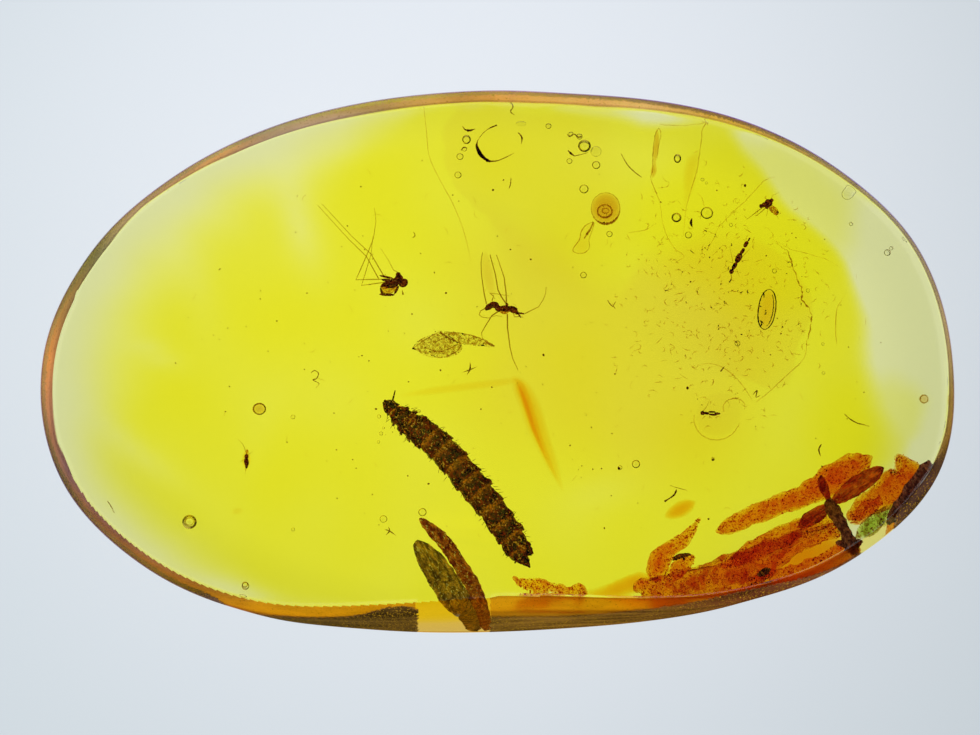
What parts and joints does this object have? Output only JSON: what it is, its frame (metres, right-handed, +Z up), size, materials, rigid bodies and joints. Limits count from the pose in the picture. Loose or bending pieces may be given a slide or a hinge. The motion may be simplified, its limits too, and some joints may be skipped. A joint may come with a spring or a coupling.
{
  "type": "insect in amber",
  "caption": "Polished oval slab of clear yellow fossil resin with sealed insects, plant pieces and bubbles, lying on a flat base.",
  "frame": {"origin": "middle of the flat base, which is the bottom centre of the stone's box", "axes": "+Z up out of the domed top face, +X along the length of the oval towards its narrower end"},
  "size_m": [0.03, 0.0178, 0.0064],
  "materials": {
    "amber": "clear honey-yellow fossil resin, hand polished, with a darker ground side wall",
    "insect_cuticle": "dark red-brown insect cuticle, faintly glossy, lighter in the soft joints between segments",
    "insect_membrane": "thin see-through wing membrane and films of old resin, pale brown",
    "plant_matter": "dried olive-brown leaflets, bud scales and twig pieces",
    "wood_debris": "crumbly orange-red decayed wood and bark debris"
  },
  "bodies": {
    "root": {"amber_stone": "amber"}
  },
  "joints": []
}
